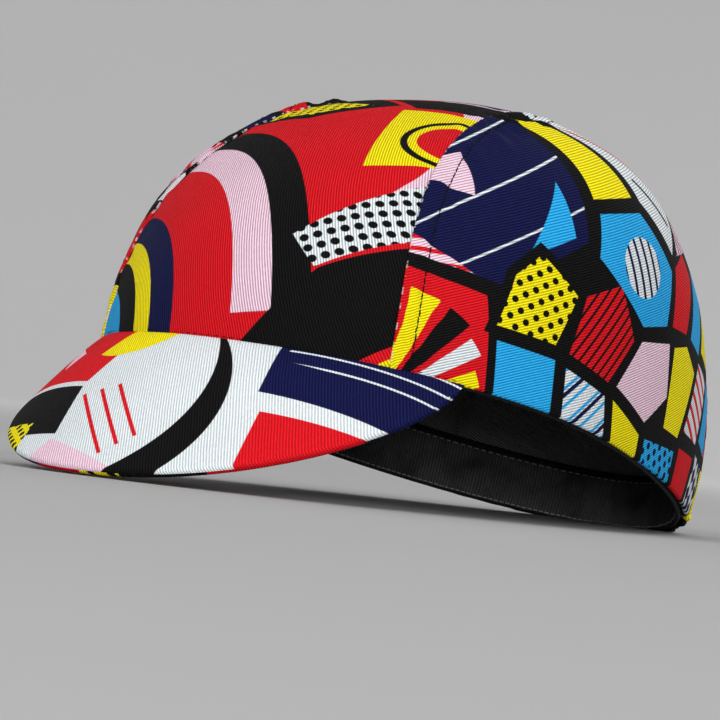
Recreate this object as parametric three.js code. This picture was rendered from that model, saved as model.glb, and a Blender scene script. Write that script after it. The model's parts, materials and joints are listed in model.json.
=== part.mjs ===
// Cycling cap standing on a flat surface: a three-panel cloth crown, a short turned-down peak of two
// covers, and a sweatband inside the rim. Units are millimetres. The cap is modelled in its own frame,
// with the rim near the plane z = 0, the front towards -Y and the wearer's left towards +X, and the last
// group tips it back on to the floor, where it rests on its rear hem and on the edge of its peak.

import * as THREE from 'three';
import { mergeVertices } from 'three/addons/utils/BufferGeometryUtils.js';

// Crown
const rimLength = 204;
const rimWidth = 153;
const crownHeight = 89.2;
const rimArchAtSides = 0.84;
const rimDipAtFront = 0.71;
const clothThickness = 1.6;

// Middle strip, measured from the middle line to the seam
const stripHalfAtBrow = 48.6;
const stripHalfAtTop = 27.5;
const stripHalfAtBack = 43;
const seamGap = 0.3;

// Gathers that the elastic draws in the rear hem
const gatherDepth = 1.4;
const gatherHeight = 30;
const gatherHalfAngle = THREE.MathUtils.degToRad(58);
const gathersRoundRim = 30;

// Sweatband
const bandHeight = 16.5;
const bandThickness = 1.6;
const bandBelowHem = 1.3;
const bandClearance = 0.3;

// Peak
const peakLength = 54.6;
const peakSlope = THREE.MathUtils.degToRad(54);
const peakHalfAngle = THREE.MathUtils.degToRad(54.7);
const peakCamber = 3.9;
const peakTopThickness = 1.5;
const peakUnderThickness = 1.5;
const peakCoverGap = 0.3;
const peakClearance = 0.3;

// How far the cloth and the peak's edge give where they stand on the floor
const hemGive = 1.6;
const peakGive = 0.4;

// Form of the crown, as shares of its half length, half width and height
const crownForm = {
  widestAhead: 0.1015,
  endTaper: 0.0476,
  sideFullnessLow: 0.127,
  sideFullnessHigh: 0.155,
  frontFullness: 0.0,
  backFullness: 0.174,
  topNarrowing: 0.547,
  topAhead: 0.027,
  shoulderLift: 0.429,
};
const stripWaist = 3.2;

// Form of the peak: how far it fans out, how blunt its outline is, how much it domes and how its ends stop
const peakForm = { fan: 0.35, outlinePower: 2.2, outlineBlunt: 0.652, dome: 1.12, endShare: 0.99 };

// Grid counts
const cellsAlong = 34;
const cellsAcrossStrip = 28;
const cellsDownSide = 13;
const cellsRoundBand = 96;
const cellsUpBand = 3;
const cellsAcrossPeak = 30;
const cellsDownPeak = 6;

const colours = {
  middle: { color: 0xd8202a, roughness: 0.85 },
  left: { color: 0x14184a, roughness: 0.85 },
  right: { color: 0xf4e21c, roughness: 0.85 },
  band: { color: 0x0c0c0e, roughness: 0.8 },
  peakTop: { color: 0xe9eef0, roughness: 0.85 },
  peakUnder: { color: 0xc01822, roughness: 0.85 },
};

const halfLength = rimLength / 2;
const halfWidth = rimWidth / 2;

// Rim of the crown at an angle measured from the front, turning towards the wearer's left.
function rimPoint(angle) {
  const taper = crownForm.endTaper * halfLength;
  const ahead = crownForm.widestAhead * halfLength;
  const x = halfWidth * Math.sin(angle);
  const y = -(halfLength - taper) * Math.cos(angle) - taper * Math.cos(3 * angle) + ahead * Math.cos(2 * angle);
  const z = -rimArchAtSides * Math.cos(2 * angle) - rimDipAtFront * Math.cos(3 * angle);
  return new THREE.Vector3(x, y, z);
}

// Outer face of the crown for a direction on the unit hemisphere.
function smoothCrownPoint(direction) {
  const { x: dx, y: dy, z: up } = direction;
  const level = Math.hypot(dx, dy);
  const rim = rimPoint(Math.atan2(dx, -dy));
  const reach = (1 - crownForm.endTaper) * halfLength;
  const rimOdd = rim.y - (reach * dy) / Math.max(level, 1e-9);
  const fullness = (crownForm.frontFullness + crownForm.backFullness) / 2;
  const fullnessTilt = (crownForm.backFullness - crownForm.frontFullness) / 2;
  const wide = 1 + crownForm.sideFullnessLow * up + crownForm.sideFullnessHigh * up * up;
  const long = 1 + (fullness + fullnessTilt * dy) * up - crownForm.topNarrowing * up * up;
  return new THREE.Vector3(
    halfWidth * dx * wide,
    reach * dy * long + rimOdd * level ** 3 - crownForm.topAhead * halfLength * up,
    rim.z * level ** 3 * (1 - up) + crownHeight * up * (1 + crownForm.shoulderLift * (1 - up)),
  );
}

function smoothCrownNormal(direction) {
  const step = 1e-3;
  const helper = Math.abs(direction.x) < 0.9 ? new THREE.Vector3(1, 0, 0) : new THREE.Vector3(0, 1, 0);
  const across = new THREE.Vector3().crossVectors(helper, direction).normalize();
  const along = new THREE.Vector3().crossVectors(direction, across);
  const slope = (tangent) => {
    const ahead = direction.clone().addScaledVector(tangent, step).normalize();
    const behind = direction.clone().addScaledVector(tangent, -step).normalize();
    return smoothCrownPoint(ahead).sub(smoothCrownPoint(behind));
  };
  return slope(across).cross(slope(along)).normalize();
}

function smoothStep(from, to, value) {
  return THREE.MathUtils.smoothstep(value, from, to);
}

// Outward swell of the cloth in the soft folds above the rear elastic.
function gatherAt(direction, height) {
  const offBack = Math.abs(Math.PI - Math.abs(Math.atan2(direction.x, -direction.y)));
  const round = smoothStep(0, 1, 1 - offBack / gatherHalfAngle);
  const up = smoothStep(0, 1, 1 - height / gatherHeight);
  return gatherDepth * round * up * (0.5 - 0.5 * Math.cos(gathersRoundRim * offBack));
}

// A point of the crown's cloth, a depth under its outer face.
function crownPoint(direction, depth) {
  const point = smoothCrownPoint(direction);
  const swell = gatherAt(direction, point.z);
  return point.addScaledVector(smoothCrownNormal(direction), swell - depth);
}

// Direction on the hemisphere of a point at a share of the way from brow to back, at a distance from the middle.
function stripDirection(share, fromMiddle) {
  const turn = Math.PI * share;
  let dx = 0;
  let up = Math.sin(turn);
  for (let pass = 0; pass < 6; pass += 1) {
    const wide = 1 + crownForm.sideFullnessLow * up + crownForm.sideFullnessHigh * up * up;
    dx = fromMiddle / (halfWidth * wide);
    up = Math.sin(turn) * Math.sqrt(1 - dx * dx);
  }
  return new THREE.Vector3(dx, -Math.cos(turn) * Math.sqrt(1 - dx * dx), up);
}

function stripHalfWidth(share) {
  const end = share < 0.5 ? stripHalfAtBrow : stripHalfAtBack;
  return stripHalfAtTop + (end - stripHalfAtTop) * Math.abs(Math.cos(Math.PI * share)) ** stripWaist;
}

function gridOf(columns, rows, pointAt) {
  return Array.from({ length: columns }, (_, i) => Array.from({ length: rows }, (_, j) => pointAt(i, j)));
}

// One closed wall between a grid of outer points and the matching grid of inner points. A wall that goes
// all the way round joins its last column to its first; cells that shrink to a corner are left out.
function wallGeometry(outer, inner, goesRound = false) {
  const columns = outer.length;
  const rows = outer[0].length;
  const cornerCount = columns * rows;
  const positions = [...outer.flat(), ...inner.flat()].flatMap((point) => point.toArray());
  const outerAt = (i, j) => (i % columns) * rows + j;
  const innerAt = (i, j) => cornerCount + outerAt(i, j);
  const faces = [];
  const quad = (a, b, c, d) => faces.push(a, b, c, a, c, d);
  const lastColumn = goesRound ? columns : columns - 1;
  for (let i = 0; i < lastColumn; i += 1) {
    for (let j = 0; j < rows - 1; j += 1) {
      quad(outerAt(i, j), outerAt(i + 1, j), outerAt(i + 1, j + 1), outerAt(i, j + 1));
      quad(innerAt(i, j), innerAt(i, j + 1), innerAt(i + 1, j + 1), innerAt(i + 1, j));
    }
    quad(outerAt(i, 0), innerAt(i, 0), innerAt(i + 1, 0), outerAt(i + 1, 0));
    quad(outerAt(i, rows - 1), outerAt(i + 1, rows - 1), innerAt(i + 1, rows - 1), innerAt(i, rows - 1));
  }
  if (!goesRound) {
    for (let j = 0; j < rows - 1; j += 1) {
      quad(outerAt(0, j), outerAt(0, j + 1), innerAt(0, j + 1), innerAt(0, j));
      quad(outerAt(lastColumn, j), innerAt(lastColumn, j), innerAt(lastColumn, j + 1), outerAt(lastColumn, j + 1));
    }
  }
  const geometry = new THREE.BufferGeometry();
  geometry.setAttribute('position', new THREE.Float32BufferAttribute(positions, 3));
  geometry.setIndex(faces);
  return turnedOutwards(withoutEmptyFaces(mergeVertices(geometry, 1e-4)));
}

function withoutEmptyFaces(geometry) {
  const index = geometry.index.array;
  const kept = [];
  for (let f = 0; f < index.length; f += 3) {
    const [a, b, c] = index.slice(f, f + 3);
    if (a !== b && b !== c && c !== a) {
      kept.push(a, b, c);
    }
  }
  geometry.setIndex(kept);
  return geometry;
}

function turnedOutwards(geometry) {
  const index = geometry.index.array;
  const position = geometry.getAttribute('position');
  const corner = (n) => new THREE.Vector3().fromBufferAttribute(position, index[n]);
  let volume = 0;
  for (let f = 0; f < index.length; f += 3) {
    volume += corner(f).dot(corner(f + 1).cross(corner(f + 2)));
  }
  if (volume < 0) {
    for (let f = 0; f < index.length; f += 3) {
      [index[f + 1], index[f + 2]] = [index[f + 2], index[f + 1]];
    }
  }
  geometry.computeVertexNormals();
  return geometry;
}

// Floor that the cap stands on, in the cap's own frame: it passes through the rear hem and the peak's edge.
const rearFoot = bandFace(Math.PI, -bandBelowHem, 0).point;
const peakFoot = peakPoint(0, 1, peakTopThickness + peakCoverGap + peakUnderThickness);
const restTilt = Math.atan2(rearFoot.z + hemGive - peakFoot.z - peakGive, rearFoot.y - peakFoot.y);
const floorUp = new THREE.Vector3(0, -Math.sin(restTilt), Math.cos(restTilt));
const floorHeight = floorUp.dot(rearFoot) + hemGive;

// Cloth that would reach below the floor is pressed flat on it.
function pressedOnFloor(point) {
  const below = floorHeight - floorUp.dot(point);
  return below > 0 ? point.addScaledVector(floorUp, below) : point;
}

function middleStripGeometry() {
  const face = (depth) => gridOf(cellsAlong + 1, cellsAcrossStrip + 1, (i, j) => {
    const share = i / cellsAlong;
    const across = (2 * j) / cellsAcrossStrip - 1;
    return pressedOnFloor(crownPoint(stripDirection(share, across * (stripHalfWidth(share) - seamGap / 2)), depth));
  });
  return wallGeometry(face(0), face(clothThickness));
}

// Side panel, from the seam down to the rim; side is 1 on the wearer's left and -1 on the right.
function sidePanelGeometry(side) {
  const seamDirection = (share) => stripDirection(share, side * (stripHalfWidth(share) + seamGap / 2));
  const angleOf = (direction) => Math.atan2(side * direction.x, -direction.y);
  const frontAngle = angleOf(seamDirection(0));
  const backAngle = angleOf(seamDirection(1));
  const face = (depth) => gridOf(cellsAlong + 1, cellsDownSide + 1, (i, j) => {
    const share = i / cellsAlong;
    const seam = seamDirection(share);
    seam.z = Math.max(seam.z, 0);
    const angle = THREE.MathUtils.lerp(frontAngle, backAngle, share);
    const rim = new THREE.Vector3(side * Math.sin(angle), -Math.cos(angle), 0);
    const direction = seam.lerp(rim, j / cellsDownSide).normalize();
    return pressedOnFloor(crownPoint(direction, depth));
  });
  return wallGeometry(face(0), face(clothThickness));
}

// A point of the sweatband and the way out through it, at a height over the crown's hem and a depth from
// the face that lies against the crown.
function bandFace(angle, height, depth) {
  const direction = new THREE.Vector3(Math.sin(angle), -Math.cos(angle), 0);
  const lift = Math.max(height, 0) / (crownHeight * (1 + crownForm.shoulderLift));
  direction.z = lift;
  direction.normalize();
  const outward = smoothCrownNormal(direction);
  const point = smoothCrownPoint(direction);
  point.addScaledVector(outward, -(clothThickness + bandClearance + depth));
  point.z += Math.min(height, 0);
  return { point, outward };
}

function sweatbandGeometry() {
  const face = (depth) => gridOf(cellsRoundBand, cellsUpBand + 1, (i, j) => {
    const angle = (2 * Math.PI * i) / cellsRoundBand;
    const height = j === 0 ? -bandBelowHem : (bandHeight * j) / cellsUpBand;
    return pressedOnFloor(bandFace(angle, height, depth).point);
  });
  return wallGeometry(face(0), face(bandThickness), true);
}

// A point of the peak. Across runs from -1 to 1 along the brow, down from 0 under the crown's hem to 1 at
// the outer edge, and depth is measured down from the upper face.
function peakPoint(across, down, depth) {
  const angle = across * peakHalfAngle;
  const root = rimPoint(angle);
  const outward = new THREE.Vector3(Math.sin(angle) / halfWidth, -Math.cos(angle) / halfLength, 0).normalize();
  const forward = new THREE.Vector3(peakForm.fan * Math.sin(angle), -1, 0).normalize();
  const outline = (1 - Math.abs(across) ** peakForm.outlinePower) ** peakForm.outlineBlunt;
  const reach = peakLength * outline * down;
  const drop = peakLength * outline * Math.sin(peakSlope) * down ** peakForm.dome;
  const lift = peakCamber * across ** 2 * Math.sin(Math.PI * Math.abs(across)) * down;
  const point = root.addScaledVector(forward, reach * Math.cos(peakSlope));
  point.z += lift - drop - peakClearance;
  const square = new THREE.Vector3(0, 0, 1).multiplyScalar(Math.cos(peakSlope));
  square.addScaledVector(forward, Math.sin(peakSlope));
  const plumb = new THREE.Vector3(0, 0, 1 / Math.cos(peakSlope));
  const through = plumb.lerp(square, smoothStep(0, 0.35, down));
  point.addScaledVector(through, -depth);
  if (down === 0) {
    point.addScaledVector(outward, -(clothThickness - peakClearance));
  }
  return point;
}

function peakCoverGeometry(upperDepth, lowerDepth) {
  const rowShares = [0, 1e-3, ...Array.from({ length: cellsDownPeak }, (_, j) => (j + 1) / cellsDownPeak)];
  const face = (depth) => gridOf(cellsAcrossPeak + 1, rowShares.length, (i, j) => {
    const turn = Math.PI * (i / cellsAcrossPeak - 0.5);
    return pressedOnFloor(peakPoint(peakForm.endShare * Math.sin(turn), rowShares[j], depth));
  });
  return wallGeometry(face(upperDepth), face(lowerDepth));
}

function pieceOf(name, geometry, colour) {
  const mesh = new THREE.Mesh(geometry, new THREE.MeshStandardMaterial({ metalness: 0, ...colour }));
  mesh.name = name;
  return mesh;
}

function buildCap() {
  const underTop = peakTopThickness + peakCoverGap;
  const cap = new THREE.Group();
  cap.add(
    pieceOf('crown_middle_panel', middleStripGeometry(), colours.middle),
    pieceOf('crown_left_panel', sidePanelGeometry(1), colours.left),
    pieceOf('crown_right_panel', sidePanelGeometry(-1), colours.right),
    pieceOf('sweatband', sweatbandGeometry(), colours.band),
    pieceOf('peak_top_cover', peakCoverGeometry(0, peakTopThickness), colours.peakTop),
    pieceOf('peak_under_cover', peakCoverGeometry(underTop, underTop + peakUnderThickness), colours.peakUnder),
  );
  cap.rotation.x = -restTilt;
  return cap;
}

// The whole cap stands on z = 0 with the middle of its box over the origin.
function standOnFloor(cap) {
  const standing = new THREE.Group();
  standing.add(cap);
  const box = new THREE.Box3().setFromObject(standing, true);
  standing.position.set(-(box.min.x + box.max.x) / 2, -(box.min.y + box.max.y) / 2, -floorHeight);
  return standing;
}

export default standOnFloor(buildCap());
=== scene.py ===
"""Dresses the cycling cap: printed twill panels, a two-sided peak, a ribbed sweatband and all the stitches.

The cap lies on the floor by itself, on its rear hem and the edge of its peak, and the camera looks at it
from low in front of the wearer's left side. Shapes are worked out in the cap's own frame, with the rim near
z = 0, the front towards -Y and the wearer's left towards +X, and then tipped into the row's frame.
"""

import json
import math

import bpy
import numpy as np
from mathutils import Matrix, Vector


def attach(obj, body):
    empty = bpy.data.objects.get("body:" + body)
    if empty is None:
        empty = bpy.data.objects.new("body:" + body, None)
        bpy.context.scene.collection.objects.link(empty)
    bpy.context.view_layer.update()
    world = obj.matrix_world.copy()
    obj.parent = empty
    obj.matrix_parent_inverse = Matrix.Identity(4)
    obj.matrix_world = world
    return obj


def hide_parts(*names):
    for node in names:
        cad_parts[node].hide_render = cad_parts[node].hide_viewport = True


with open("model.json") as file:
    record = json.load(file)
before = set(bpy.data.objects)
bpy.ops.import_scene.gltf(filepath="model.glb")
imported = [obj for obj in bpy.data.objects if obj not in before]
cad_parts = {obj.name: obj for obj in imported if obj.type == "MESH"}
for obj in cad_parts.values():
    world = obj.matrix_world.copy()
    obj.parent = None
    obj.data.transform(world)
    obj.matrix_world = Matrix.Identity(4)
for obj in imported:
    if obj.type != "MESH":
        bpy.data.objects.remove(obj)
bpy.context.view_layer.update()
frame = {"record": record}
MM = 0.001

# Sizes of the crown, the same as the frame's
RIM_LENGTH, RIM_WIDTH, CROWN_HEIGHT = 204 * MM, 153 * MM, 89.2 * MM
HALF_LENGTH, HALF_WIDTH = RIM_LENGTH / 2, RIM_WIDTH / 2
RIM_ARCH, RIM_DIP = 0.84 * MM, 0.71 * MM
# Shares of those sizes: where the rim is widest, how full each side is, and how the top narrows and leans
WIDEST_AHEAD, END_TAPER = 0.1015, 0.0476
SIDE_FULL_LOW, SIDE_FULL_HIGH = 0.127, 0.155
FRONT_FULL, BACK_FULL, TOP_NARROW = 0.0, 0.174, 0.547
TOP_AHEAD, SHOULDER = 0.027, 0.429
# Half widths of the strip at the brow, the top and the back, and how sharply it narrows between them
STRIP_BROW, STRIP_TOP, STRIP_BACK, STRIP_WAIST = 48.6 * MM, 27.5 * MM, 43 * MM, 3.2

# Sizes of the crown's cloth, and how near the floor it is pressed
FLOOR_CLEARANCE = 0.02 * MM
CLOTH = 0.7 * MM
HEM_ROLL, HEM_DEPTH = 0.75 * MM, 9 * MM
SEAM_ROLL, SEAM_TURN, SEAM_GAP = 0.45 * MM, 0.3 * MM, 0.08 * MM
LAP = 0.45 * MM
# Length of the strip from hem to hem, and cloth of a side panel for each unit that it rises
STRIP_RUN, CLOTH_PER_RISE = 300 * MM, 1.05
# How the strip tucks in under the side panels, step by step from its edge: outwards, and down
UNDERLAP_OUT = [0, 0.5 * MM, 1 * MM, 1.5 * MM, 2.1 * MM]
UNDERLAP_DEPTH = [0, 0.4 * MM, 1 * MM, 1.4 * MM, 1.5 * MM]

# Relief of the crown's cloth: how high each kind stands, and how long its waves are
STRIP_SWELL, STRIP_SWELL_LENGTH = 0.35 * MM, 70 * MM
STRIP_PUCKER, STRIP_PUCKER_LENGTH = 0.38 * MM, 11 * MM
STRIP_DIP = 0.2 * MM
SIDE_SWELL, SIDE_SWELL_LENGTH = 0.45 * MM, 75 * MM
SIDE_PUCKER, SIDE_PUCKER_LENGTH = 0.4 * MM, 9 * MM
SEAM_DENT, SEAM_DENT_LENGTH, SEAM_DENT_WIDTH = 0.5 * MM, 15 * MM, 5 * MM
# Where the seam's thread is drawn tighter, as shares of the seam, and how much more the cloth puckers there
DRAWN_AT, DRAWN_SPREAD, DRAWN_MORE = 0.36, 0.07, 1.6

# Gathers over the rear elastic: how far round they reach from the back, and for the soft folds and the small
# crumples, how high they climb, how many would go all round, and how far they swell
GATHER_REACH = math.radians(58)
FOLD_CLIMB, FOLD_COUNT, FOLD_SWELL = 30 * MM, 30, 1.4 * MM
CRUMPLE_CLIMB, CRUMPLE_COUNT, CRUMPLE_SWELL = 15 * MM, 68, 0.5 * MM

# Threads: distance from the seam, pitch from stitch to stitch, height over the cloth, and the groove
TOPSTITCH_AT, TOPSTITCH_PITCH = 5 * MM, 2.2 * MM
BROW_PITCH, UPPER_PITCH, LOWER_PITCH = 2.3 * MM, 2.2 * MM, 1.7 * MM
THREAD_LIFT, BAND_THREAD_LIFT = 0.08 * MM, 0.12 * MM
GROOVE_DEPTH, GROOVE_WIDTH = 0.32 * MM, 0.75 * MM

# Sizes of the sweatband, whose inner face bulges, is pinched by the upper stitches and thins above them
BAND_HEIGHT, BAND_BELOW = 16.5 * MM, 1.3 * MM
BAND_DEPTH, BAND_THICK, BAND_TOP_THICK = 1.9 * MM, 1.4 * MM, 1 * MM
BAND_ROLL = 0.62 * MM
# The upper stitches under the band's top, and the lower ones under the hem
BAND_STITCH_AT, BAND_LOWER_STITCH_AT = 2.5 * MM, 0.3 * MM
BAND_BELLY, BAND_TAPER = 0.25 * MM, 0.5 * MM
BAND_PINCH, BAND_PINCH_WIDTH = 0.3 * MM, 0.7 * MM
BAND_RIPPLE, BAND_RIPPLE_COUNT, BAND_RIPPLE_REACH = 0.55 * MM, 61, math.radians(60)
# Where the inner face starts on the band's flat cloth, in millimetres
INSIDE_RUN_FROM = 40

# Sizes of the peak
PEAK_LENGTH, PEAK_CAMBER = 54.6 * MM, 3.9 * MM
PEAK_SLOPE, PEAK_HALF_ANGLE = math.radians(54), math.radians(54.7)
PEAK_FAN, PEAK_POWER, PEAK_BLUNT, PEAK_DOME, PEAK_END = 0.35, 2.2, 0.652, 1.12, 0.99
PEAK_DEPTH, UPPER_ROLL, UNDER_ROLL = 3.3 * MM, 1 * MM, 1.95 * MM
PEAK_BELOW_HEM, PEAK_UNDER_CROWN = 0.3 * MM, 1.2 * MM
PEAK_CLOTH = 0.5 * MM
# Largest roll of the edge where the peak is short, as a share of its reach there
ROLL_OF_REACH = 0.16
# How each cover tucks into the seam on the edge, inwards and away from its face, as shares of its roll
PEAK_TUCK = [(0.2, 0.11), (0.75, 0.12)]

# Camera, as it stands to the cap in the cap's own frame
CAMERA_AZIMUTH, CAMERA_ELEVATION, CAMERA_ROLL = map(math.radians, (38.88, -9.755, 13.916))
CAMERA_DISTANCE, CAMERA_RIGHT, CAMERA_UP = 1.3462, -0.01021, 0.01733
FOCAL_PIXELS, PICTURE_PIXELS, SENSOR_MM = 4929.0, 720, 36

# Studio: paper that lies flat and then curves up all round and glows more the farther out it is, and the
# lamps as name, place, size and watts
FLOOR_RADIUS, BEND, BEND_STEPS = 3.0, 1.5, 18
PAPER_TONE, PAPER_GLOW = (0.385, 0.385, 0.385), (0.2, 0.2, 0.2, 1)
GLOW_FROM, GLOW_FULL = 0.7, 2.9
LAMPS_AIM = (0, 0, 0.05)
LAMPS = [
    ("key", (0.15, -3.3, 1.9), 2.1, 70),
    ("overhead", (0.3, 0.15, 3.6), 3.2, 62),
    ("left", (3.1, -0.6, 1.4), 2.1, 44),
    ("right", (-3.1, 0.3, 1.4), 2.1, 20),
    ("back", (-0.15, 3.1, 1.9), 2.1, 40),
    ("fill", (2.4, -2.7, 0.4), 0.7, 52),
]

# The cap's own frame in the row's frame, from the mount at the middle of the rim
opening = next(m for m in frame["record"]["mounts"] if m["name"] == "head_opening")
TILT = math.atan2(-opening["axis"][1], -opening["axis"][2])
CAP_TURN = Matrix.Rotation(-TILT, 3, "X")
CAP_ORIGIN = Vector(opening["pos_m"]) - CAP_TURN @ Vector((0, WIDEST_AHEAD * HALF_LENGTH, 0))
# A point well inside the crown, from which its cloth faces away
INSIDE_CAP = CAP_TURN @ Vector((0, 0.01, 0.03)) + CAP_ORIGIN


def to_row(points):
    """Points of the cap's own frame in the row's frame, with cloth pressed flat where it meets the floor."""
    row = points @ np.array(CAP_TURN).T + np.array(CAP_ORIGIN)
    row[..., 2] = np.maximum(row[..., 2], FLOOR_CLEARANCE)
    return row


def unit(vectors):
    return vectors / np.maximum(np.linalg.norm(vectors, axis=-1, keepdims=True), 1e-12)


def stack(*parts):
    return np.stack(np.broadcast_arrays(*parts), -1)


def smooth_step(low, high, value):
    t = np.clip((value - low) / (high - low), 0, 1)
    return t * t * (3 - 2 * t)


def bell(value, middle, width):
    return np.exp(-(((value - middle) / width) ** 2))


def rim_point(angle):
    """Rim of the crown at an angle from the front towards the wearer's left."""
    taper, ahead = END_TAPER * HALF_LENGTH, WIDEST_AHEAD * HALF_LENGTH
    x = HALF_WIDTH * np.sin(angle)
    y = -(HALF_LENGTH - taper) * np.cos(angle) - taper * np.cos(3 * angle) + ahead * np.cos(2 * angle)
    z = -RIM_ARCH * np.cos(2 * angle) - RIM_DIP * np.cos(3 * angle)
    return stack(x, y, z)


def crown_point(direction):
    """Outer face of the smooth crown for directions on the unit hemisphere."""
    dx, dy, up = direction[..., 0], direction[..., 1], direction[..., 2]
    level = np.hypot(dx, dy)
    rim = rim_point(np.arctan2(dx, -dy))
    reach = (1 - END_TAPER) * HALF_LENGTH
    odd = rim[..., 1] - reach * dy / np.maximum(level, 1e-9)
    full, tilt = (FRONT_FULL + BACK_FULL) / 2, (BACK_FULL - FRONT_FULL) / 2
    wide = 1 + SIDE_FULL_LOW * up + SIDE_FULL_HIGH * up * up
    long = 1 + (full + tilt * dy) * up - TOP_NARROW * up * up
    y = reach * dy * long + odd * level**3 - TOP_AHEAD * HALF_LENGTH * up
    z = rim[..., 2] * level**3 * (1 - up) + CROWN_HEIGHT * up * (1 + SHOULDER * (1 - up))
    return stack(HALF_WIDTH * dx * wide, y, z)


def crown_normal(direction):
    step = 1e-3
    sideways = np.abs(direction[..., :1]) > 0.9
    helper = np.where(sideways, [0.0, 1.0, 0.0], [1.0, 0.0, 0.0])
    across = unit(np.cross(helper, direction))
    along = np.cross(direction, across)

    def slope(tangent):
        return crown_point(unit(direction + step * tangent)) - crown_point(unit(direction - step * tangent))

    return unit(np.cross(slope(across), slope(along)))


def strip_half_width(share):
    end = np.where(share < 0.5, STRIP_BROW, STRIP_BACK)
    return STRIP_TOP + (end - STRIP_TOP) * np.abs(np.cos(np.pi * share)) ** STRIP_WAIST


def strip_direction(share, from_middle):
    """Direction of a point a share of the way from brow to back, at a distance from the middle line."""
    turn = np.pi * np.clip(share, 0, 1)
    dx, up = 0 * turn, np.sin(turn)
    for _ in range(6):
        dx = from_middle / (HALF_WIDTH * (1 + SIDE_FULL_LOW * up + SIDE_FULL_HIGH * up * up))
        up = np.maximum(np.sin(turn), 0) * np.sqrt(1 - dx * dx)
    return stack(dx, -np.cos(turn) * np.sqrt(1 - dx * dx), up)


def waves(a, b, length, seed):
    """Smooth irregular relief between about -1 and 1, the same on every run."""
    rng = np.random.default_rng(seed)
    total = 0
    for _ in range(9):
        heading, phase, stretch = rng.uniform(0, 2 * np.pi, 2).tolist() + [rng.uniform(0.6, 1.6)]
        turn = 2 * np.pi * stretch / length
        total = total + np.sin(turn * (a * math.cos(heading) + b * math.sin(heading)) + phase)
    return total / 4


def gathers(direction, height):
    """Swell of the cloth above the rear elastic: soft folds and crumples that die out upwards."""
    off_back = np.pi - np.abs(np.arctan2(direction[..., 0], -direction[..., 1]))
    along = off_back * np.sign(direction[..., 0])
    fade = smooth_step(0, 1, 1 - off_back / GATHER_REACH)
    folds = (0.5 - 0.5 * np.cos(FOLD_COUNT * off_back)) * smooth_step(0, 1, 1 - height / FOLD_CLIMB)
    wander = 0.91 * waves(along * 90 * MM, height, 34 * MM, 5) + 5 * np.sin(3.1 * along)
    crumples = np.sin(CRUMPLE_COUNT * along + wander) * smooth_step(0, 1, 1 - height / CRUMPLE_CLIMB)
    return fade * (FOLD_SWELL * folds + CRUMPLE_SWELL * crumples)


def new_grid(name, columns, rows):
    """A grid primitive with a UV map, ready to be laid on the form."""
    bpy.ops.object.select_all(action="DESELECT")
    sides = {"x_subdivisions": columns - 1, "y_subdivisions": rows - 1}
    bpy.ops.mesh.primitive_grid_add(size=2, calc_uvs=True, **sides)
    piece = bpy.context.object
    piece.name = name
    piece.data.uv_layers[0].name = "cut"
    return piece


def lay_grid(piece, columns, rows, points, cut, fold=0.0):
    """Moves each corner to its place and writes the cloth's flat coordinates and how near a fold it is."""
    mesh = piece.data
    flat = np.empty(len(mesh.vertices) * 3)
    mesh.vertices.foreach_get("co", flat)
    flat = flat.reshape(-1, 3)
    i = np.rint((flat[:, 0] + 1) / 2 * (columns - 1)).astype(int)
    j = np.rint((flat[:, 1] + 1) / 2 * (rows - 1)).astype(int)
    mesh.vertices.foreach_set("co", points[i, j].ravel())
    corner = np.empty(len(mesh.loops), dtype=int)
    mesh.loops.foreach_get("vertex_index", corner)
    mesh.uv_layers["cut"].data.foreach_set("uv", (cut[i, j][corner] * 10).ravel())
    near = mesh.attributes.new("fold", "FLOAT", "POINT")
    near.data.foreach_set("value", np.broadcast_to(fold, (columns, rows))[i, j].astype(np.float32))
    mesh.update()


def select_only(piece):
    bpy.ops.object.select_all(action="DESELECT")
    piece.select_set(True)
    bpy.context.view_layer.objects.active = piece


def in_edit_mode(piece, *steps):
    """Runs edit-mode operators, each a name with its settings, on the whole of one piece."""
    select_only(piece)
    bpy.ops.object.mode_set(mode="EDIT")
    bpy.ops.mesh.select_mode(type="FACE")
    bpy.ops.mesh.select_all(action="SELECT")
    for step, settings in steps:
        getattr(bpy.ops.mesh, step)(**settings)
    bpy.ops.object.mode_set(mode="OBJECT")


def modify(piece, kind, **settings):
    """Adds a modifier and applies it."""
    select_only(piece)
    modifier = piece.modifiers.new(kind.lower(), kind)
    for key, value in settings.items():
        setattr(modifier, key, value)
    bpy.ops.object.modifier_apply(modifier=modifier.name)


def smooth_shade(piece, degrees=50):
    select_only(piece)
    bpy.ops.object.shade_smooth_by_angle(angle=math.radians(degrees))


def faces_outwards(piece, inside_point):
    """Turns the sheet's faces so that they look away from a point inside the cap."""
    mesh = piece.data
    vote = 0.0
    for face in mesh.polygons:
        vote += face.area * face.normal.dot(face.center - inside_point)
    if vote < 0:
        in_edit_mode(piece, ("flip_normals", {}))


def edge_profile(main, before, after):
    """Rows of a sheet as (place along the sheet, step beyond its edge), with counts of steps at each edge."""
    rows = [(0.0, -step) for step in range(before, 0, -1)]
    rows += [(k / main, 0) for k in range(main + 1)]
    rows += [(1.0, step) for step in range(1, after + 1)]
    return np.array(rows)


# Rows of a sheet round the hem's roll, over the seam's edge, and back up inside the hem
ROLL_STEPS, TURN_STEPS, UP_STEPS = 5, 4, 4


def hem_fold(step):
    """Turn round the hem's roll, depth once inside it, and distance back up, for steps beyond the hem."""
    turn = np.pi * np.clip(step / ROLL_STEPS, 0, 1)
    inside = turn > np.pi * 0.99
    back_up = np.clip(step - ROLL_STEPS, 0, UP_STEPS) / UP_STEPS * HEM_DEPTH
    return np.where(inside, 0, turn), np.where(inside, 2 * HEM_ROLL, 0), back_up


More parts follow.
